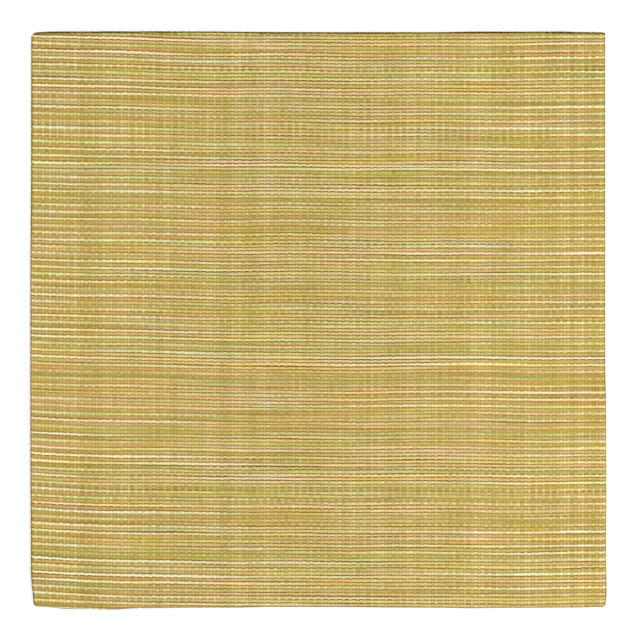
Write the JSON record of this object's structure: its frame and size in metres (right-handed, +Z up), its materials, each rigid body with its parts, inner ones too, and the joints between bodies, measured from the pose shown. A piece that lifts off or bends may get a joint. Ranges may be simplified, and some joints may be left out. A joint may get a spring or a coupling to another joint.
{
  "type": "borderless half-size tatami mat",
  "caption": "Flat square straw floor mat with no cloth border: a fine ribbed weave in cream, gold, brown and green rolls over its edges.",
  "frame": {"origin": "middle of the underside, on the ground", "axes": "+Z up, out of the woven face; X along the strands of the weave, Y along its ribs"},
  "size_m": [0.8216, 0.824, 0.015],
  "materials": {
    "woven_rush": "dry, fine ribbed weave of straw-coloured strands in cream, gold, brown and olive lines"
  },
  "bodies": {
    "root": {"woven_mat": "woven_rush"}
  },
  "joints": []
}
